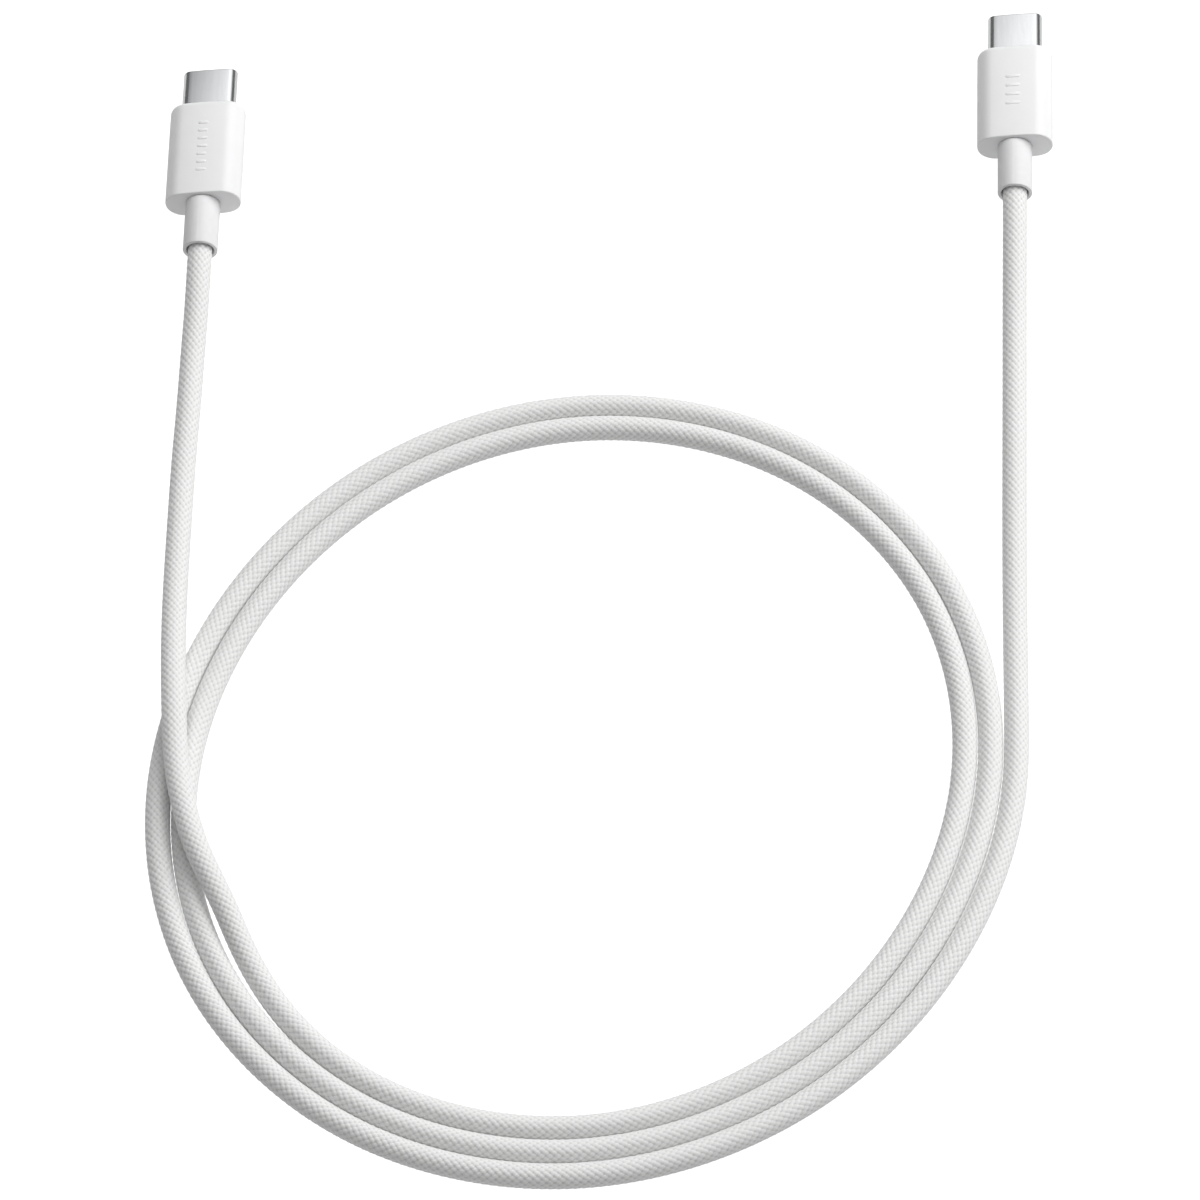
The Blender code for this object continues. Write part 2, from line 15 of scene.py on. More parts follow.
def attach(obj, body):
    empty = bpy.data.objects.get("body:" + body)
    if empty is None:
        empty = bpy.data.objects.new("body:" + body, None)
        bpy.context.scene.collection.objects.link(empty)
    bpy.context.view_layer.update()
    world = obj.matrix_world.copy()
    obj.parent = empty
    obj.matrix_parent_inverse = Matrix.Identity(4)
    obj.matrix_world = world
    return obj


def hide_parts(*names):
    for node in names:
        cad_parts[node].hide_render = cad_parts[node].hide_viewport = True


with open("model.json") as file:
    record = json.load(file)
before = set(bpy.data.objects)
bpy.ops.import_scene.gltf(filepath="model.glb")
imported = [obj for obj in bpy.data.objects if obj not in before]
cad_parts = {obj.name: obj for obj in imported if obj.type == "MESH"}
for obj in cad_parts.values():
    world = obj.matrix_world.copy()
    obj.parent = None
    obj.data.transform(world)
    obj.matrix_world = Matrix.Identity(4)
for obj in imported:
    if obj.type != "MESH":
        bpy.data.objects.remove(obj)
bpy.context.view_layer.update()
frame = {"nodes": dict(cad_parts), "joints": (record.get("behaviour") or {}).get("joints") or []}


# --- Front insulator and contact block -------------------------------------------------------------
# Black liquid-crystal polymer, a stiff heat-proof plastic, injection moulded round the tongue slot.
# Its flow leaves a faint streaked bloom along the plug, and the surface is matt.
MM = 0.001
SIDES = ("right", "left")


def linear(code):
    """An sRGB hex colour as linear red, green, blue and alpha."""
    parts = [int(code[k : k + 2], 16) / 255 for k in (1, 3, 5)]
    return (*[c / 12.92 if c <= 0.04045 else ((c + 0.055) / 1.055) ** 2.4 for c in parts], 1.0)


def add(tree, kind, inputs, **settings):
    """Adds a node. Each input gets a number, a colour or another node's output."""
    node = tree.nodes.new("ShaderNode" + kind)
    for name, value in settings.items():
        setattr(node, name, value)
    for name, value in inputs.items():
        if isinstance(value, bpy.types.NodeSocket):
            tree.links.new(value, node.inputs[name])
        else:
            node.inputs[name].default_value = value
    return node


def start_material(name, values):
    """A material, its node tree and its shader, with the shader's own sockets set."""
    material = bpy.data.materials.new(name)
    material.use_nodes = True
    tree = material.node_tree
    shader = tree.nodes["Principled BSDF"]
    for socket, value in values.items():
        shader.inputs[socket].default_value = value
    return material, tree, shader


def grained(name, dark, light, rough, grain, depth, stretch=(1, 1, 1), **values):
    """A material with a fine grain of that size and depth in metres, drawn out along the axes by stretch.

    The real grain is too fine to show, so each piece draws its grain coarser, at the size it gives here.
    """
    material, tree, shader = start_material(name, {k.replace("_", " "): v for k, v in values.items()})
    place = add(tree, "TexCoord", {})
    scale = [1 / (grain * s) for s in stretch]
    spread = add(tree, "Mapping", {"Vector": place.outputs["Object"], "Scale": scale})
    fine = add(tree, "TexNoise", {"Vector": spread.outputs[0], "Scale": 1.0, "Detail": 4.0, "Roughness": 0.6})
    broad = add(tree, "TexNoise", {"Vector": spread.outputs[0], "Scale": 0.12, "Detail": 2.0})
    shade = add(
        tree, "MixRGB", {"Fac": broad.outputs["Fac"], "Color1": linear(dark), "Color2": linear(light)}
    )
    sheen = add(
        tree,
        "MapRange",
        {
            "Value": fine.outputs["Fac"],
            "From Min": 0.3,
            "From Max": 0.7,
            "To Min": rough[0],
            "To Max": rough[1],
        },
    )
    bump = add(tree, "Bump", {"Height": fine.outputs["Fac"], "Distance": depth, "Strength": 1.0})
    tree.links.new(shade.outputs[0], shader.inputs["Base Color"])
    tree.links.new(sheen.outputs[0], shader.inputs["Roughness"])
    tree.links.new(bump.outputs[0], shader.inputs["Normal"])
    return material


def dress(names, material):
    """Gives CAD nodes a material."""
    for side in SIDES:
        for name in names:
            node = frame["nodes"][f"{side}_{name}"]
            node.data.materials.clear()
            node.data.materials.append(material)


black_polymer = grained(
    "moulded_black_liquid_crystal_polymer",
    "#1B1B1D",
    "#29292C",
    rough=(0.42, 0.6),
    grain=0.25 * MM,
    depth=0.004 * MM,
    stretch=(1, 4, 1),
)
dress(["front_insulator", "contact_block"], black_polymer)


# --- Contacts ------------------------------------------------------------------------------------
# Phosphor-bronze strips, stamped, bent at the crest and plated with hard gold over nickel.
# The plating is warm, mirror-like and drawn in fine lines along the strip.
gold_plating = grained(
    "hard_gold_over_nickel",
    "#D8A94E",
    "#F0CC7A",
    rough=(0.16, 0.32),
    grain=0.03 * MM,
    depth=0.0006 * MM,
    stretch=(1, 12, 1),
    Metallic=1.0,
)
UPPER_PINS = (1, 4, 5, 6, 7, 9, 12)
LOWER_PINS = (1, 4, 9, 12)
contacts = [f"contact_a{pin}" for pin in UPPER_PINS] + [f"contact_b{pin}" for pin in LOWER_PINS]
dress(contacts, gold_plating)


# --- Ground springs and latch arms ---------------------------------------------------------------
# Stainless spring strip, stamped and left as rolled, so it is grey, bright and lined along the strip.
rolled_spring = grained(
    "rolled_stainless_spring_strip",
    "#A9ABAE",
    "#C9CACC",
    rough=(0.22, 0.4),
    grain=0.04 * MM,
    depth=0.001 * MM,
    stretch=(1, 10, 1),
    Metallic=1.0,
)
springs = ["upper_ground_spring", "lower_ground_spring", "outer_latch_arm", "inner_latch_arm"]
dress(springs, rolled_spring)


# --- Circuit card --------------------------------------------------------------------------------
# Glass-cloth laminate under green solder mask. The cloth's weave shows faintly through the glossy mask,
# which is drawn on the card's edges too.
CLOTH_PITCH = 0.45 * MM
card_mask, tree, shader = start_material("solder_mask_on_glass_laminate", {"IOR": 1.5, "Coat Weight": 0.3})
place = add(tree, "TexCoord", {})
spread = add(tree, "Mapping", {"Vector": place.outputs["Object"], "Scale": [math.tau / CLOTH_PITCH] * 3})
split = add(tree, "SeparateXYZ", {0: spread.outputs[0]})
warp = add(tree, "Math", {0: split.outputs[0]}, operation="SINE")
weft = add(tree, "Math", {0: split.outputs[1]}, operation="SINE")
cloth = add(tree, "Math", {0: warp.outputs[0], 1: weft.outputs[0]}, operation="MULTIPLY")
shade = add(
    tree,
    "MapRange",
    {"Value": cloth.outputs[0], "From Min": -1.0, "From Max": 1.0, "To Min": 0.0, "To Max": 1.0},
)
mask = add(
    tree, "MixRGB", {"Fac": shade.outputs[0], "Color1": linear("#155A2C"), "Color2": linear("#1E6E38")}
)
gloss = add(tree, "MapRange", {"Value": shade.outputs[0], "To Min": 0.24, "To Max": 0.36})
bump = add(tree, "Bump", {"Height": cloth.outputs[0], "Distance": 0.003 * MM})
tree.links.new(mask.outputs[0], shader.inputs["Base Color"])
tree.links.new(gloss.outputs[0], shader.inputs["Roughness"])
tree.links.new(bump.outputs[0], shader.inputs["Normal"])
dress(["circuit_card"], card_mask)


# --- Wires ---------------------------------------------------------------------------------------
# Stranded copper in extruded insulation, one colour for each wire. The extrusion is smooth and satin,
# with faint die lines along it.
WIRE_COLOURS = {
    "red": ("#A81E1E", "#BC2A28"),
    "black": ("#19191A", "#262627"),
    "green": ("#1C7A36", "#268A42"),
    "white": ("#DEDEDC", "#EDEDEB"),
    "blue": ("#1D3F97", "#284CA8"),
}
for colour, (dark, light) in WIRE_COLOURS.items():
    insulation = grained(
        f"extruded_{colour}_wire_insulation",
        dark,
        light,
        rough=(0.38, 0.5),
        grain=0.06 * MM,
        depth=0.002 * MM,
        stretch=(1, 15, 1),
        IOR=1.5,
    )
    dress([colour + "_wire"], insulation)


# --- Jacket end ----------------------------------------------------------------------------------
# The cord's inner jacket is extruded elastomer, stripped of its sleeve where it enters the plug.
# It is matt, off-white and a little chalky from the talc under the sleeve.
jacket_elastomer = grained(
    "extruded_elastomer_jacket",
    "#CFCFCB",
    "#DFDFDC",
    rough=(0.55, 0.7),
    grain=0.12 * MM,
    depth=0.004 * MM,
    stretch=(1, 6, 1),
    IOR=1.5,
)
dress(["jacket_end"], jacket_elastomer)


# --- Shield can ----------------------------------------------------------------------------------
# Tinned steel, folded round the card and crimped on the jacket. Tin is soft grey with a mottled bloom.
tinned_steel = grained(
    "matt_tinned_steel",
    "#A6A8AB",
    "#C4C5C7",
    rough=(0.3, 0.46),
    grain=0.18 * MM,
    depth=0.002 * MM,
    stretch=(1, 1.6, 1),
    Metallic=1.0,
)
dress(["shield_can"], tinned_steel)


# --- Inner mould ---------------------------------------------------------------------------------
# Low-pressure moulded polyolefin, shot over the can. It is milky and slightly waxy, with flow marks.
waxy_polyolefin = grained(
    "low_pressure_moulded_polyolefin",
    "#D2D2CC",
    "#E2E2DD",
    rough=(0.5, 0.66),
    grain=0.6 * MM,
    depth=0.01 * MM,
    stretch=(1, 2, 1),
    IOR=1.49,
)
dress(["inner_mould"], waxy_polyolefin)


# --- Steel shell ---------------------------------------------------------------------------------
# Deep-drawn steel with bright nickel plating. Drawing leaves faint lines along it, drawn coarser here
# than the real ones. The rim is turned to a small round, and the plating mirrors its surroundings softly.
SHELL_HALF = (4.125 * MM, 1.20 * MM)
SHELL_WALL = 0.28 * MM
SHELL_LIP = 0.18 * MM
NOSE_Y = 25.10 * MM
TIP_Y = 31.75 * MM
SHELL_REAR_Y = 20.60 * MM
ROUND_STEPS = 14
FACE_STEPS = 12
SHELL_SLOPE = 2.7
PLUG_TURN = Euler((0, math.radians(-9.0), math.radians(-1.5))).to_matrix().to_4x4()


def plug_place(side):
    """Where a plug's own axes lie. The plug bends about this point."""
    joint = [j for j in frame["joints"] if j["name"] == side + "_plug_bend"][0]
    return Matrix.Translation(Vector(joint["pos_m"])) @ PLUG_TURN


def section(half_x, half_z, corner, y, slope=0.0):
    """A ring of points round a rounded rectangle across the plug. Its faces meet its corners at a slope."""
    ring = []
    tilt = math.radians(slope)
    for quarter in range(4):
        middle_x = (half_x - corner) * (1 if quarter in (0, 3) else -1)
        middle_z = (half_z - corner) * (1 if quarter in (0, 1) else -1)
        start = math.radians(90) * quarter + (tilt if quarter in (1, 3) else 0)
        for k in range(ROUND_STEPS + 1):
            angle = start + (math.radians(90) - tilt) * k / ROUND_STEPS
            ring.append((middle_x + corner * math.cos(angle), y, middle_z + corner * math.sin(angle)))
        if quarter in (0, 2):
            edge_x, _, edge_z = ring[-1]
            for k in range(1, FACE_STEPS):
                share = 1 - 2 * k / FACE_STEPS
                bulge = abs(edge_x) * math.tan(tilt) / 2 * (1 - share**2)
                ring.append((edge_x * share, y, edge_z + math.copysign(bulge, edge_z)))
    return ring


def turned_edge(half, corner, inset, y, radius, start, stop, steps=6, slope=0.0):
    """Rings round an edge that turns through start to stop degrees; inset and y are its centre."""
    rings = []
    for k in range(steps + 1):
        angle = math.radians(start + (stop - start) * k / steps)
        out = inset + radius * math.cos(angle)
        height = y + radius * math.sin(angle)
        rings.append(section(half[0] + out, half[1] + out, corner + out, height, slope))
    return rings


def plug_piece(name, points, faces, side, material, crease):
    """A closed piece of a plug, given in the plug's own axes, that rides with the plug."""
    mesh = bpy.data.meshes.new(name)
    mesh.from_pydata(points, [], faces)
    work = bmesh.new()
    work.from_mesh(mesh)
    bmesh.ops.recalc_face_normals(work, faces=work.faces)
    work.to_mesh(mesh)
    work.free()
    mesh.transform(plug_place(side))
    mesh.shade_smooth()
    mesh.set_sharp_from_angle(angle=math.radians(crease))
    mesh.materials.append(material)
    piece = bpy.data.objects.new(name, mesh)
    bpy.context.scene.collection.objects.link(piece)
    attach(piece, side + "_plug")
    return piece


def loft(name, rings, side, material, stands_for):
    """A hollow piece from rings that run along its outside and back through its bore."""
    count = len(rings[0])
    points = [point for ring in rings for point in ring]
    faces = []
    for k in range(len(rings)):
        near = k * count
        far = (k + 1) % len(rings) * count
        faces += [(near + (j - 1) % count, near + j, far + j, far + (j - 1) % count) for j in range(count)]
    piece = plug_piece(name, points, faces, side, material, 32)
    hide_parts(stands_for)
    return piece


nickel_plate = grained(
    "bright_nickel_on_drawn_steel",
    "#DADBDD",
    "#E4E5E6",
    rough=(0.20, 0.26),
    grain=0.05 * MM,
    depth=0.0001 * MM,
    stretch=(1, 14, 1),
    Metallic=1.0,
)
for side in SIDES:
    inner = (SHELL_HALF[0] - SHELL_WALL, SHELL_HALF[1] - SHELL_WALL)
    rings = [
        section(*inner, inner[1], SHELL_REAR_Y),
        *turned_edge(inner, inner[1], 0.05 * MM, TIP_Y - 0.05 * MM, 0.05 * MM, 180, 90, 3),
        *turned_edge(
            SHELL_HALF, SHELL_HALF[1], -SHELL_LIP, TIP_Y - SHELL_LIP, SHELL_LIP, 90, 0, 6, SHELL_SLOPE
        ),
        section(*SHELL_HALF, SHELL_HALF[1], SHELL_REAR_Y, SHELL_SLOPE),
    ]
    loft(side + "_plug_shell", rings, side, nickel_plate, side + "_metal_shell")


# --- Boot ----------------------------------------------------------------------------------------
# Soft thermoplastic elastomer, moulded over the neck of the cord with a flange inside the housing.
# It is white and satin, a little duller than the housing, with a turned rim round the cord.
BOOT_RADIUS = 2.60 * MM
MOUTH_RADIUS = 2.13 * MM
RECESS_RADIUS = 1.98 * MM
NECK_RADIUS = 2.00 * MM
BORE_RADIUS = 1.55 * MM
BOOT_EDGE = 0.14 * MM
MOUTH_Y = -0.40 * MM
RECESS_Y = 0.933 * MM
TAIL_Y = 8.10 * MM
FLANGE_Y = 9.40 * MM
FLANGE = (3.20 * MM, 2.00 * MM)
FLANGE_LENGTH = 1.40 * MM


def circle(radius, y):
    return section(radius, radius, radius, y)


satin_elastomer = grained(
    "moulded_satin_white_elastomer",
    "#E3E3E4",
    "#E9E9EA",
    rough=(0.42, 0.50),
    grain=0.10 * MM,
    depth=0.0005 * MM,
    IOR=1.5,
)
for side in SIDES:
    mouth = (MOUTH_RADIUS, MOUTH_RADIUS)
    outer = (BOOT_RADIUS, BOOT_RADIUS)
    rings = [
        circle(RECESS_RADIUS, RECESS_Y),
        circle(RECESS_RADIUS, 0.0),
        *turned_edge(mouth, MOUTH_RADIUS, 0.06 * MM, MOUTH_Y + 0.06 * MM, 0.06 * MM, 180, 270, 3),
        *turned_edge(outer, BOOT_RADIUS, -BOOT_EDGE, MOUTH_Y + BOOT_EDGE, BOOT_EDGE, 270, 360),
        *turned_edge(outer, BOOT_RADIUS, -0.08 * MM, TAIL_Y - 0.18 * MM, 0.08 * MM, 0, 90, 3),
        circle(NECK_RADIUS, TAIL_Y - 0.10 * MM),
        circle(NECK_RADIUS, FLANGE_Y),
        section(*FLANGE, FLANGE[1], FLANGE_Y),
        section(*FLANGE, FLANGE[1], FLANGE_Y + FLANGE_LENGTH),
        circle(BORE_RADIUS, FLANGE_Y + FLANGE_LENGTH),
        circle(BORE_RADIUS, RECESS_Y),
    ]
    loft(side + "_boot", rings, side, satin_elastomer, side + "_strain_relief_boot")


# --- Housing -------------------------------------------------------------------------------------
# White polycarbonate, injection moulded in a polished tool, so it is smooth and even with a satin gloss,
# and faintly cloudy where the pigment is denser. Its nose is well rounded, its tail has a small round,
# and the shell stands out of its front.
HOUSING_HALF = (5.70 * MM, 2.90 * MM)
HOUSING_CORNER = 2.75 * MM
HOUSING_SLOPE = 5.0
HOUSING_WALL = 0.80 * MM
NOSE_RADIUS = 1.10 * MM
TAIL_RADIUS = 0.22 * MM
FRONT_WALL = 1.00 * MM
REAR_WALL = 1.20 * MM
FIT_GAP = 0.10 * MM
CLOUD_SIZE = 3.0 * MM
polycarbonate, tree, shader = start_material(
    "polished_white_polycarbonate", {"Roughness": 0.285, "IOR": 1.585}
)
place = add(tree, "TexCoord", {})
cloud = add(tree, "TexNoise", {"Vector": place.outputs["Object"], "Scale": 1 / CLOUD_SIZE, "Detail": 1.0})
shade = add(
    tree, "MixRGB", {"Fac": cloud.outputs["Fac"], "Color1": linear("#EFEFF0"), "Color2": linear("#F3F3F4")}
)
tree.links.new(shade.outputs[0], shader.inputs["Base Color"])
for side in SIDES:
    hole = (SHELL_HALF[0] + FIT_GAP, SHELL_HALF[1] + FIT_GAP)
    cavity = (HOUSING_HALF[0] - HOUSING_WALL, HOUSING_HALF[1] - HOUSING_WALL)
    cavity_corner = HOUSING_CORNER - HOUSING_WALL
    neck = NECK_RADIUS + FIT_GAP
    rings = [
        section(*hole, hole[1], NOSE_Y - FRONT_WALL),
        *turned_edge(hole, hole[1], 0.08 * MM, NOSE_Y - 0.08 * MM, 0.08 * MM, 180, 90, 3),
        *turned_edge(
            HOUSING_HALF,
            HOUSING_CORNER,
            -NOSE_RADIUS,
            NOSE_Y - NOSE_RADIUS,
            NOSE_RADIUS,
            90,
            0,
            12,
            HOUSING_SLOPE,
        ),
        *turned_edge(
            HOUSING_HALF,
            HOUSING_CORNER,
            -TAIL_RADIUS,
            TAIL_Y + TAIL_RADIUS,
            TAIL_RADIUS,
            0,
            -90,
            6,
            HOUSING_SLOPE,
        ),
        circle(neck, TAIL_Y),
        circle(neck, TAIL_Y + REAR_WALL),
        section(*cavity, cavity_corner, TAIL_Y + REAR_WALL),
        section(*cavity, cavity_corner, NOSE_Y - FRONT_WALL),
    ]
    loft(
        side + "_moulded_housing", rings, side, polycarbonate, side + "_housing"
    )


# --- Raised bars ---------------------------------------------------------------------------------
# Plain low bars across the flat of each housing, moulded in one with it, in place of any marking.
# They have the housing's own gloss, and their edges are softened by the polish.
BAR_LIFT = 0.05 * MM
BAR_ROOT = 0.05 * MM
BAR_EDGE = 0.05 * MM
BAR_STEPS = 8
TILT = math.radians(HOUSING_SLOPE)
FLAT_EDGE = (
    HOUSING_HALF[0] - HOUSING_CORNER + HOUSING_CORNER * math.sin(TILT),
    HOUSING_HALF[1] - HOUSING_CORNER + HOUSING_CORNER * math.cos(TILT),
)
BARS = {
    "right": {"count": 4, "half": (1.10 * MM, 0.26 * MM), "pitch": 1.62 * MM},
    "left": {"count": 7, "half": (0.76 * MM, 0.24 * MM), "pitch": 1.42 * MM},
}


def bar_ring(half_x, half_y, middle_y, lift):
    """A ring round a bar with round ends, on the crowned flat of the housing."""
    ring = []
    for end in (1, -1):
        for k in range(BAR_STEPS + 1):
            angle = math.radians(-90 + 180 * k / BAR_STEPS)
            x = end * (half_x - half_y + half_y * math.cos(angle))
            y = middle_y + end * half_y * math.sin(angle)
            face = FLAT_EDGE[1] + FLAT_EDGE[0] * math.tan(TILT) / 2 * (1 - (x / FLAT_EDGE[0]) ** 2)
            ring.append((x, y, face + lift))
    return ring


for side, bars in BARS.items():
    points, faces = [], []
    for k in range(bars["count"]):
        y = (NOSE_Y + TAIL_Y) / 2 + (k - (bars["count"] - 1) / 2) * bars["pitch"]
        half_x, half_y = bars["half"]
        profile = [(0.0, -BAR_ROOT), (0.0, 0.0), (0.3 * BAR_EDGE, 0.7 * BAR_LIFT), (BAR_EDGE, BAR_LIFT)]
        rings = [bar_ring(half_x - inset, half_y - inset, y, lift) for inset, lift in profile]
        count = len(rings[0])
        start = len(points)
        points += [point for ring in rings for point in ring]
        for level in range(len(rings) - 1):
            near = start + level * count
            for j in range(count):
                last = (j - 1) % count
                faces.append((near + last, near + j, near + count + j, near + count + last))
        faces.append(list(range(start + count - 1, start - 1, -1)))
        faces.append(list(range(start + (len(rings) - 1) * count, start + len(rings) * count)))
    plug_piece(side + "_raised_bars", points, faces, side, polycarbonate, 50)


# --- Cord ----------------------------------------------------------------------------------------
# A sleeve of white polyester yarn, braided over the jacket with 12 bundles each way, two over and two
# under. The bundles stand up as rounded ribs. Their filaments are about 0.02 mm across, too fine to
# show, so they are drawn coarser, as six strands to a bundle.
CORD_DIAMETER = 3.70 * MM
LYING = CORD_DIAMETER / 2 + 0.02 * MM
BUNDLES = 12
BUNDLE_PITCH = 1.15 * MM
BUNDLE_PARTS = 4
BRAID_RELIEF = 0.19 * MM
WAVE_SHARE = 0.25
FILAMENTS = 6
FILAMENT_SHARE = 0.06
CREST_SHARE = 0.95
YARN_DEPTH = 0.05 * MM
TURN_GAP = 0.04 * MM
LOOP_CENTRE = (-4.30 * MM, -110.70 * MM)
LOOP_RADIUS = 63.87 * MM
LOOP_OVAL = 3.13 * MM
LOOP_OVAL_ANGLE = math.radians(60.9)
LOOP_STEPS_PER_TURN = 12
LOOP_STEPS = 28

# The points beside the coil: x and y in millimetres, then the height above where the cord lies, as a
# share of the plug's own height in a lead and in cord diameters in the crossing.
RIGHT_LEAD = (
    (60.27, -15.6, 0.93),
    (60.10, -22.2, 0.62),
    (59.90, -30.2, 0.20),
    (59.65, -40.1, 0.00),
    (59.30, -53.1, 0.00),
    (58.95, -66.1, 0.00),
    (58.65, -79.1, 0.00),
    (58.45, -91.1, 0.00),
    (58.30, -101.6, 0.00),
)
LEFT_CROSSING = (
    (-44.95, -151.3, 0.00),
    (-52.60, -138.7, 0.24),
    (-55.20, -132.9, 0.62),
    (-58.80, -125.3, 0.99),
    (-61.10, -117.6, 1.06),
    (-62.40, -109.6, 0.99),
    (-62.90, -101.6, 1.04),
    (-63.20, -94.1, 0.89),
    (-63.35, -86.1, 0.64),
    (-63.30, -77.1, 0.34),
    (-63.10, -67.6, 0.11),
    (-62.80, -57.6, 0.01),
)
LEFT_LEAD = (
    (-62.30, -47.1, 0.00),
    (-61.90, -37.6, 0.13),
    (-61.60, -31.6, 0.52),
    (-61.40, -25.8, 0.90),
)


def loop_point(turn):
    """The cord's place after so many turns of the coil, clockwise from +X seen from above."""
    angle = -math.tau * turn
    radius = LOOP_RADIUS + LOOP_OVAL * math.cos(2 * (angle - LOOP_OVAL_ANGLE))
    radius -= (CORD_DIAMETER + TURN_GAP) * turn
    return (LOOP_CENTRE[0] + radius * math.cos(angle), LOOP_CENTRE[1] + radius * math.sin(angle), LYING)


def raised(points, scale):
    return [(x * MM, y * MM, LYING + lift * scale) for x, y, lift in points]


def spline_slopes(points, knots):
    """Slopes of the natural cubic spline through the points."""
    count = len(points)
    step = np.diff(knots)
    matrix = np.zeros((count, count))
    wanted = np.zeros((count, 3))
    rise = np.diff(points, axis=0) / step[:, None]
    matrix[0, :2] = (2.0, 1.0)
    wanted[0] = 3 * rise[0]
    for k in range(1, count - 1):
        matrix[k, k - 1] = step[k]
        matrix[k, k] = 2 * (step[k - 1] + step[k])
        matrix[k, k + 1] = step[k - 1]
        wanted[k] = 3 * (step[k] * rise[k - 1] + step[k - 1] * rise[k])
    matrix[-1, -2:] = (1.0, 2.0)
    wanted[-1] = 3 * rise[-1]
    return np.linalg.solve(matrix, wanted)


def smooth_line(points, parts=48):
    """A dense line on one smooth curve through the points."""
    points = np.array(points, float)
    knots = np.concatenate([[0.0], np.cumsum(np.linalg.norm(np.diff(points, axis=0), axis=1))])
    slopes = spline_slopes(points, knots)
    found = [points[:1]]
    t = (np.arange(1, parts + 1) / parts)[:, None]
    for k in range(len(points) - 1):
        span = knots[k + 1] - knots[k]
        found.append(
            (1 + 2 * t) * (1 - t) ** 2 * points[k]
            + t * (1 - t) ** 2 * span * slopes[k]
            + t * t * (3 - 2 * t) * points[k + 1]
            + t * t * (t - 1) * span * slopes[k + 1]
        )
    return np.concatenate(found)


right_end, left_end = (plug_place(side).translation for side in SIDES)
plug_rise = right_end.z - LYING
route = smooth_line(
    [
        tuple(right_end),
        *raised(RIGHT_LEAD, plug_rise),
        *[loop_point(k / LOOP_STEPS_PER_TURN) for k in range(LOOP_STEPS + 1)],
        *raised(LEFT_CROSSING, CORD_DIAMETER),
        *raised(LEFT_LEAD, plug_rise),
        tuple(left_end),
    ]
)
travel = np.concatenate([[0.0], np.cumsum(np.linalg.norm(np.diff(route, axis=0), axis=1))])
cord_length = travel[-1]
around = BUNDLES * BUNDLE_PARTS
along = round(cord_length / BUNDLE_PITCH * BUNDLE_PARTS)
stations = np.linspace(0, cord_length, along + 1)
centres = np.stack([np.interp(stations, travel, route[:, axis]) for axis in range(3)], 1)
ahead = np.gradient(centres, axis=0)
ahead /= np.linalg.norm(ahead, axis=1)[:, None]
across = np.cross(ahead, (0, 0, 1))
across /= np.linalg.norm(across, axis=1)[:, None]
above = np.cross(across, ahead)


def bundle_height(across_own, along_own):
    """How high a bundle stands: round across itself, and waved along itself where it goes over and under."""
    wave = np.sin(math.pi / 2 * (along_own + np.floor(across_own)))
    return np.sin(math.pi * (across_own % 1)), wave


m, k = np.meshgrid(np.arange(along + 1), np.arange(around), indexing="ij")
leaning_right = (k - m) / BUNDLE_PARTS
leaning_left = (k + m) / BUNDLE_PARTS
crown, wave = bundle_height(leaning_right, leaning_left)
other_crown, other_wave = bundle_height(leaning_left, leaning_right)
height = (1 - WAVE_SHARE) * (crown + other_crown) / 2
height += WAVE_SHARE * np.maximum(crown + wave, other_crown - other_wave) / 2
radius = CORD_DIAMETER / 2 - BRAID_RELIEF * (CREST_SHARE - height)
angle = math.tau * k / around
points = (
    centres[:, None]
    + (radius * np.cos(angle))[:, :, None] * across[:, None]
    + (radius * np.sin(angle))[:, :, None] * above[:, None]
)
corner = (m[:-1] * around + k[:-1]).ravel()
beside = (m[:-1] * around + (k[:-1] + 1) % around).ravel()
quads = np.stack([corner, corner + around, beside + around, beside], 1)
ends = [list(range(around)), list(range(along * around + around - 1, along * around - 1, -1))]
mesh = bpy.data.meshes.new("braided_sleeve")
mesh.from_pydata(points.reshape(-1, 3).tolist(), [], quads.tolist() + ends)
steps = np.array([(0, 0), (1, 0), (1, 1), (0, 1)])
corner_m = (m[:-1].ravel()[:, None] + steps[:, 0]).ravel()
corner_k = (k[:-1].ravel()[:, None] + steps[:, 1]).ravel()
braid_map = np.zeros((len(mesh.loops), 2), np.float32)
braid_map[: len(corner_m), 0] = (corner_k - corner_m) / BUNDLE_PARTS
braid_map[: len(corner_m), 1] = (corner_k + corner_m) / BUNDLE_PARTS
mesh.uv_layers.new(name="Braid").data.foreach_set("uv", braid_map.ravel())

# The sleeve lies in the OFBake map as ten stretches, one above the other.
STRETCHES = 10
stretch = np.minimum(m[:-1].ravel() * STRETCHES // along, STRETCHES - 1).repeat(4)
image_map = np.zeros((len(mesh.loops), 2), np.float32)
image_map[: len(corner_m), 0] = 0.005 + 0.99 * (corner_m * STRETCHES / along - stretch)
image_map[: len(corner_m), 1] = (stretch + 0.03 + 0.94 * corner_k / around) / STRETCHES
mesh.uv_layers.new(name="OFBake").data.foreach_set("uv", image_map.ravel())
mesh.shade_smooth()

woven_polyester, tree, shader = start_material(
    "braided_white_polyester_yarn",
    {
        "Roughness": 0.72,
        "IOR": 1.5,
        "Sheen Weight": 0.6,
        "Sheen Roughness": 0.5,
    },
)


place = add(tree, "UVMap", {}, uv_map="Braid")
split = add(tree, "SeparateXYZ", {0: place.outputs[0]})
right_count, left_count = split.outputs[0], split.outputs[1]


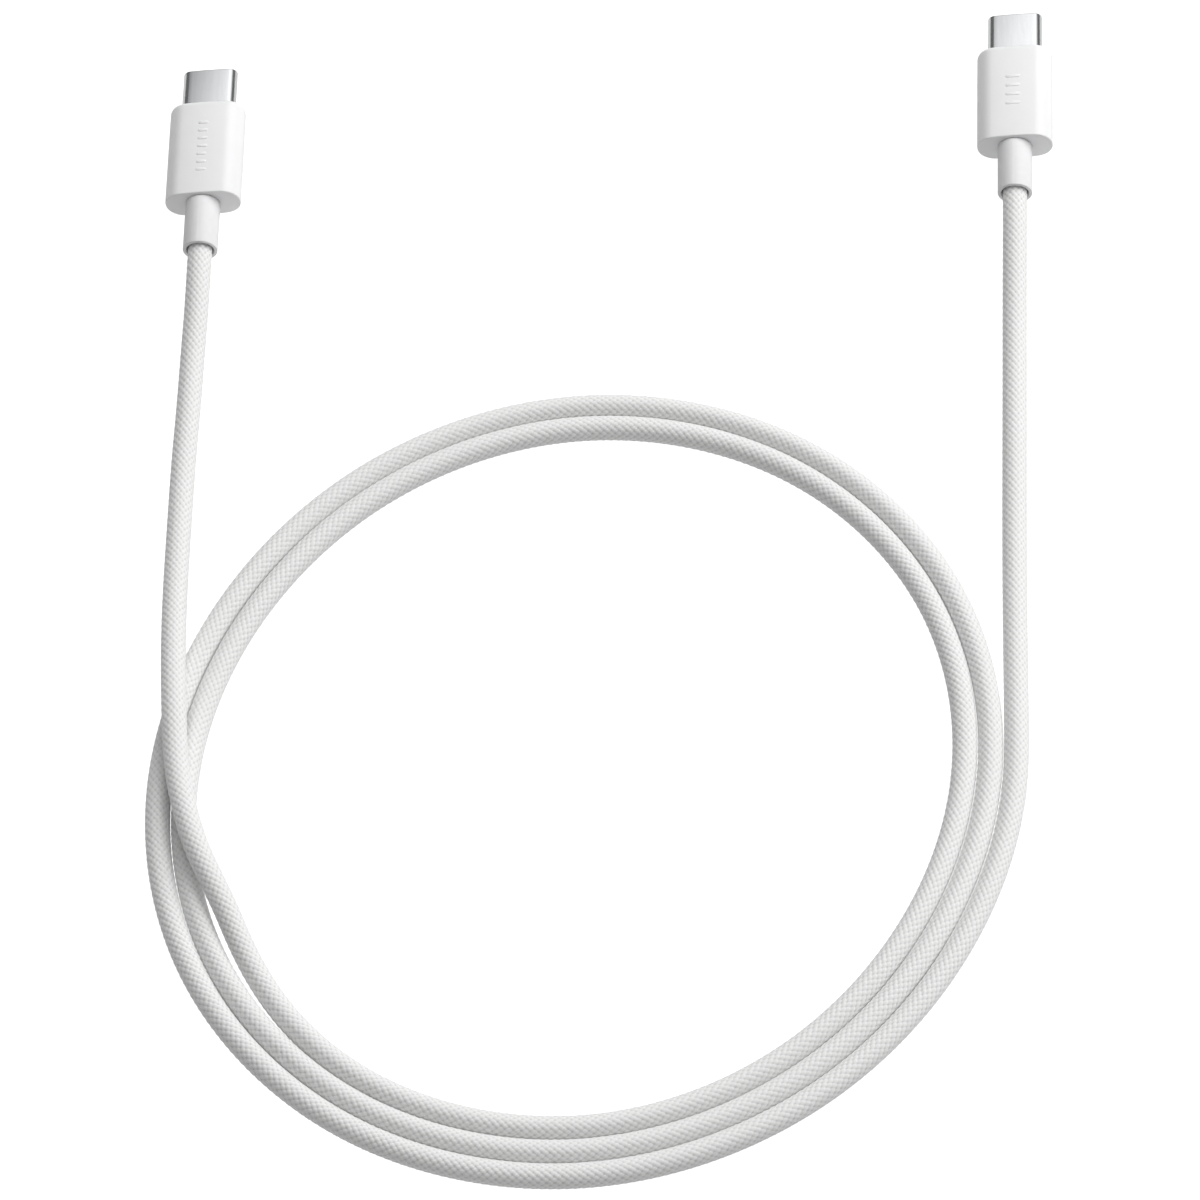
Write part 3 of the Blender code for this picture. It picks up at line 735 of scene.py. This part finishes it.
def bundle_nodes(across_own, along_own, sign):
    """A bundle's crown, the crown with its wave, as the mesh has them, and its filaments."""
    share = add(tree, "Math", {0: across_own}, operation="FRACT")
    turned = add(tree, "Math", {0: share.outputs[0], 1: math.pi}, operation="MULTIPLY")
    crown = add(tree, "Math", {0: turned.outputs[0]}, operation="SINE")
    number = add(tree, "Math", {0: across_own}, operation="FLOOR")
    travelled = add(tree, "Math", {0: along_own, 1: number.outputs[0]}, operation="ADD")
    swung = add(tree, "Math", {0: travelled.outputs[0], 1: math.pi / 2}, operation="MULTIPLY")
    wave = add(tree, "Math", {0: swung.outputs[0]}, operation="SINE")
    top = add(
        tree, "Math", {0: wave.outputs[0], 1: sign, 2: crown.outputs[0]}, operation="MULTIPLY_ADD"
    )
    spread = add(tree, "Math", {0: across_own, 1: math.tau * FILAMENTS}, operation="MULTIPLY")
    filaments = add(tree, "Math", {0: spread.outputs[0]}, operation="SINE")
    return crown.outputs[0], top.outputs[0], filaments.outputs[0]


right_crown, right_top, right_filaments = bundle_nodes(right_count, left_count, 1.0)
left_crown, left_top, left_filaments = bundle_nodes(left_count, right_count, -1.0)
right_on_top = add(tree, "Math", {0: right_top, 1: left_top}, operation="GREATER_THAN")
highest = add(tree, "Math", {0: right_top, 1: left_top}, operation="MAXIMUM")
crossing = add(tree, "Math", {0: highest.outputs[0], 1: WAVE_SHARE / 2}, operation="MULTIPLY")
both = add(tree, "Math", {0: right_crown, 1: left_crown}, operation="ADD")
rise = add(
    tree,
    "Math",
    {0: both.outputs[0], 1: (1 - WAVE_SHARE) / 2, 2: crossing.outputs[0]},
    operation="MULTIPLY_ADD",
)
filaments = add(
    tree,
    "MixRGB",
    {"Fac": right_on_top.outputs[0], "Color1": left_filaments, "Color2": right_filaments},
)
relief = add(
    tree, "Math", {0: filaments.outputs[0], 1: FILAMENT_SHARE, 2: rise.outputs[0]}, operation="MULTIPLY_ADD"
)
bump = add(tree, "Bump", {"Height": relief.outputs[0], "Distance": YARN_DEPTH, "Strength": 1.0})
# Painted shade: the yarn's colour is darker in the valleys and crossings between bundles, where shade falls,
# and lighter on their crowns.
painted_valley_shade = add(
    tree,
    "MapRange",
    {"Value": rise.outputs[0], "From Min": 0.15, "From Max": 0.75},
    interpolation_type="SMOOTHSTEP",
)
yarn = add(
    tree, "MixRGB", {"Fac": painted_valley_shade.outputs[0], "Color1": linear("#D8D8D8"), "Color2": linear("#EEEEED")}
)
tree.links.new(yarn.outputs[0], shader.inputs["Base Color"])
tree.links.new(bump.outputs[0], shader.inputs["Normal"])
mesh.materials.append(woven_polyester)
sleeve = bpy.data.objects.new("braided_sleeve", mesh)
bpy.context.scene.collection.objects.link(sleeve)
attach(sleeve, "cord")
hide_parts("cord")


# --- Studio --------------------------------------------------------------------------------------
# A pale seamless floor, a large soft light high on the right behind the cable, and a dim room. Floor and
# room are seen white, and light the cable less than they show.
FLOOR_HALF = 6.0
FLOOR_BOUNCE = 0.42
FLOOR_SHOWN = 1.0
floor_paint, tree, shader = start_material(
    "matt_pale_floor", {"Base Color": linear("#A8A8A8"), "Roughness": 0.9, "Specular IOR Level": 0.0}
)
shader.inputs["Emission Color"].default_value = linear("#FFFFFF")
path = add(tree, "LightPath", {})
glow = add(
    tree, "MapRange", {"Value": path.outputs["Is Camera Ray"], "To Min": FLOOR_BOUNCE, "To Max": FLOOR_SHOWN}
)
tree.links.new(glow.outputs[0], shader.inputs["Emission Strength"])
mesh = bpy.data.meshes.new("floor")
corners = [(x * FLOOR_HALF, y * FLOOR_HALF, 0) for x, y in ((-1, -1), (1, -1), (1, 1), (-1, 1))]
mesh.from_pydata(corners, [], [(0, 1, 2, 3)])
mesh.materials.append(floor_paint)
floor = bpy.data.objects.new("floor", mesh)
bpy.context.scene.collection.objects.link(floor)

LIGHT_PLACE = Vector((0.90, 0.62, 1.05))
LIGHT_AIM = Vector((0, -0.08, 0))
LIGHT_SIZE = 1.5
LIGHT_POWER = 20.0
lamp = bpy.data.lights.new("softbox", "AREA")
lamp.shape = "DISK"
lamp.size = LIGHT_SIZE
lamp.energy = LIGHT_POWER
softbox = bpy.data.objects.new("softbox", lamp)
softbox.location = LIGHT_PLACE
softbox.rotation_euler = (LIGHT_AIM - LIGHT_PLACE).to_track_quat("-Z", "Y").to_euler()
softbox.visible_glossy = False
bpy.context.scene.collection.objects.link(softbox)

# The room is dim, with a broad glow overhead and behind, and a weaker one in front.
OVERHEAD = (0.12, 0.50, 0.86)
FRONT = (0.20, -0.50, 0.84)
ROOM_DIM = 0.14
OVERHEAD_GLOW = 1.5
FRONT_GLOW = 0.30
world = bpy.data.worlds.new("dim_room")
bpy.context.scene.world = world
world.use_nodes = True
tree = world.node_tree
back = tree.nodes["Background"]
back.inputs["Color"].default_value = linear("#FFFFFF")
path = add(tree, "LightPath", {})
place = add(tree, "TexCoord", {})
aim = add(
    tree,
    "VectorMath",
    {0: place.outputs["Generated"], 1: OVERHEAD},
    operation="DOT_PRODUCT",
)
glow = add(
    tree,
    "MapRange",
    {
        "Value": aim.outputs["Value"],
        "From Min": 0.80,
        "From Max": 0.98,
        "To Min": ROOM_DIM,
        "To Max": OVERHEAD_GLOW,
    },
    interpolation_type="SMOOTHSTEP",
)
near = add(
    tree,
    "VectorMath",
    {0: place.outputs["Generated"], 1: FRONT},
    operation="DOT_PRODUCT",
)
fill = add(
    tree,
    "MapRange",
    {
        "Value": near.outputs["Value"],
        "From Min": 0.5,
        "From Max": 1.0,
        "To Min": 0.0,
        "To Max": FRONT_GLOW,
    },
    interpolation_type="SMOOTHSTEP",
)
room = add(tree, "Math", {0: glow.outputs[0], 1: fill.outputs[0]}, operation="ADD")
seen = add(tree, "Math", {0: room.outputs[0], 1: path.outputs["Is Camera Ray"]}, operation="MAXIMUM")
tree.links.new(seen.outputs[0], back.inputs["Strength"])

CAMERA_AIM = Vector((-0.0017, -0.0801, 0.0))
CAMERA_RANGE = 1.2
CAMERA_RISE = math.radians(58.5)
SENSOR_WIDTH = 36.0
FOCAL_LENGTH = 247.3
lens = bpy.data.cameras.new("camera")
lens.sensor_width = SENSOR_WIDTH
lens.lens = FOCAL_LENGTH
lens.clip_start = 0.05
lens.clip_end = 20.0
camera = bpy.data.objects.new("camera", lens)
camera.location = CAMERA_AIM + CAMERA_RANGE * Vector((0, -math.cos(CAMERA_RISE), math.sin(CAMERA_RISE)))
camera.rotation_euler = (math.radians(90) - CAMERA_RISE, 0, 0)
bpy.context.scene.collection.objects.link(camera)
bpy.context.scene.camera = camera
bpy.context.scene.view_settings.view_transform = "Standard"
